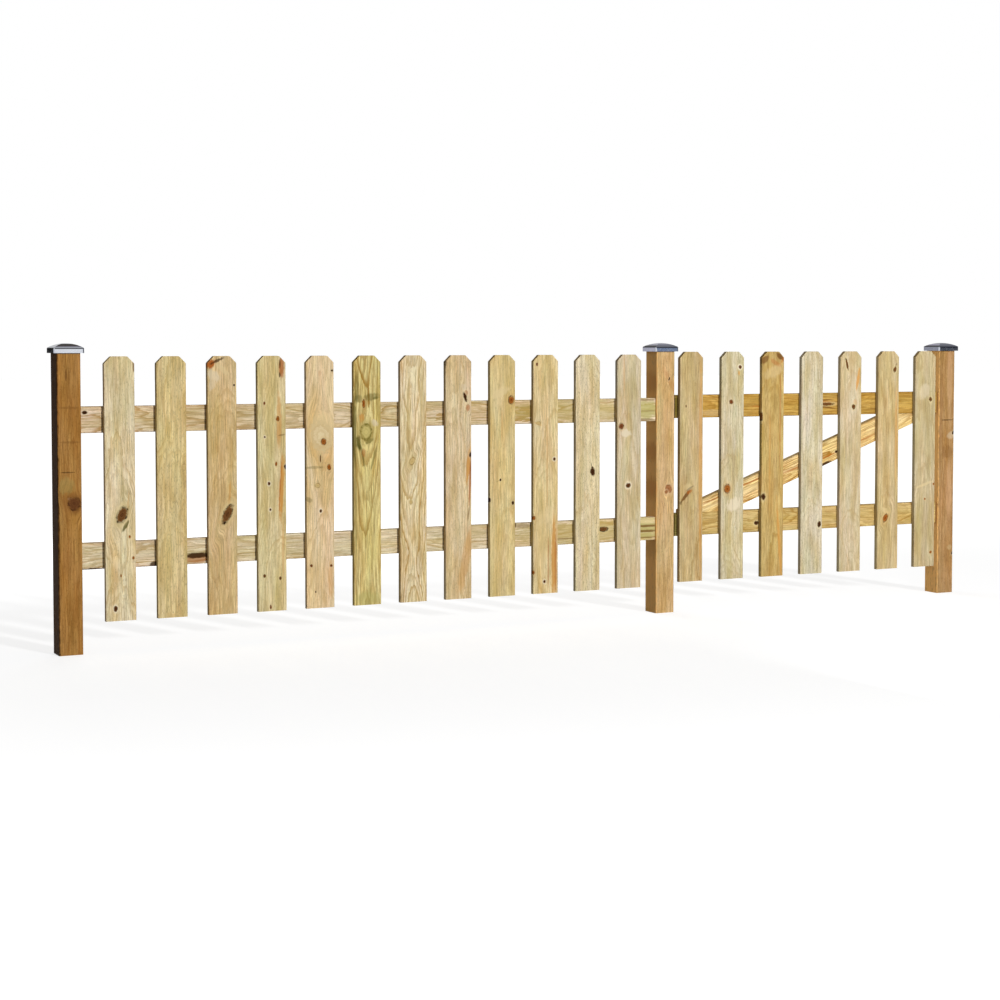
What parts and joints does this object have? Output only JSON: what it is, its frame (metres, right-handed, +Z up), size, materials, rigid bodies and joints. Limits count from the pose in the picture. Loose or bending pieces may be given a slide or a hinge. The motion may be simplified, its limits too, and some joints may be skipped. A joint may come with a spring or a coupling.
{
  "type": "picket gate in a bay of picket fence",
  "caption": "Low dog-eared picket gate on strap hinges, hung between square posts beside a matching fixed fence panel.",
  "frame": {"origin": "centre of the hinge post's flat foot", "axes": "+X along the fence from the fixed panel towards the gate, +Y from the front, where the pickets are, to the back, +Z up"},
  "size_m": [3.388, 0.092, 0.9351],
  "materials": {
    "post_timber": "planed brown-treated softwood, low sheen",
    "picket_timber": "planed pressure-treated softwood, pale yellow-green, matt",
    "rail_timber": "planed pressure-treated softwood, honey coloured, matt",
    "cap_zinc": "bright zinc-plated pressed sheet",
    "galvanised_steel": "hot-dip galvanised steel, dull"
  },
  "bodies": {
    "fence": {"left_post": "post_timber", "hinge_post": "post_timber", "right_post": "post_timber", "left_post_cap": "cap_zinc", "hinge_post_cap": "cap_zinc", "right_post_cap": "cap_zinc", "fence_panel": "picket_timber", "bracket_left_low": "galvanised_steel", "bracket_left_high": "galvanised_steel", "bracket_right_low": "galvanised_steel", "bracket_right_high": "galvanised_steel", "lower_hook": "galvanised_steel", "upper_hook": "galvanised_steel"},
    "gate": {"gate_lower_rail": "rail_timber", "gate_upper_rail": "rail_timber", "gate_brace": "rail_timber", "gate_picket_1": "picket_timber", "gate_picket_2": "picket_timber", "gate_picket_3": "picket_timber", "gate_picket_4": "picket_timber", "gate_picket_5": "picket_timber", "gate_picket_6": "picket_timber", "gate_picket_7": "picket_timber", "lower_strap": "galvanised_steel", "upper_strap": "galvanised_steel"}
  },
  "joints": [
    {"name": "gate_hinge", "type": "hinge", "parent": "fence", "child": "gate", "pos_m": [0.0545, 0.00975, 0.3], "axis": [0, 0, 1], "range_deg": [0, 120]}
  ]
}
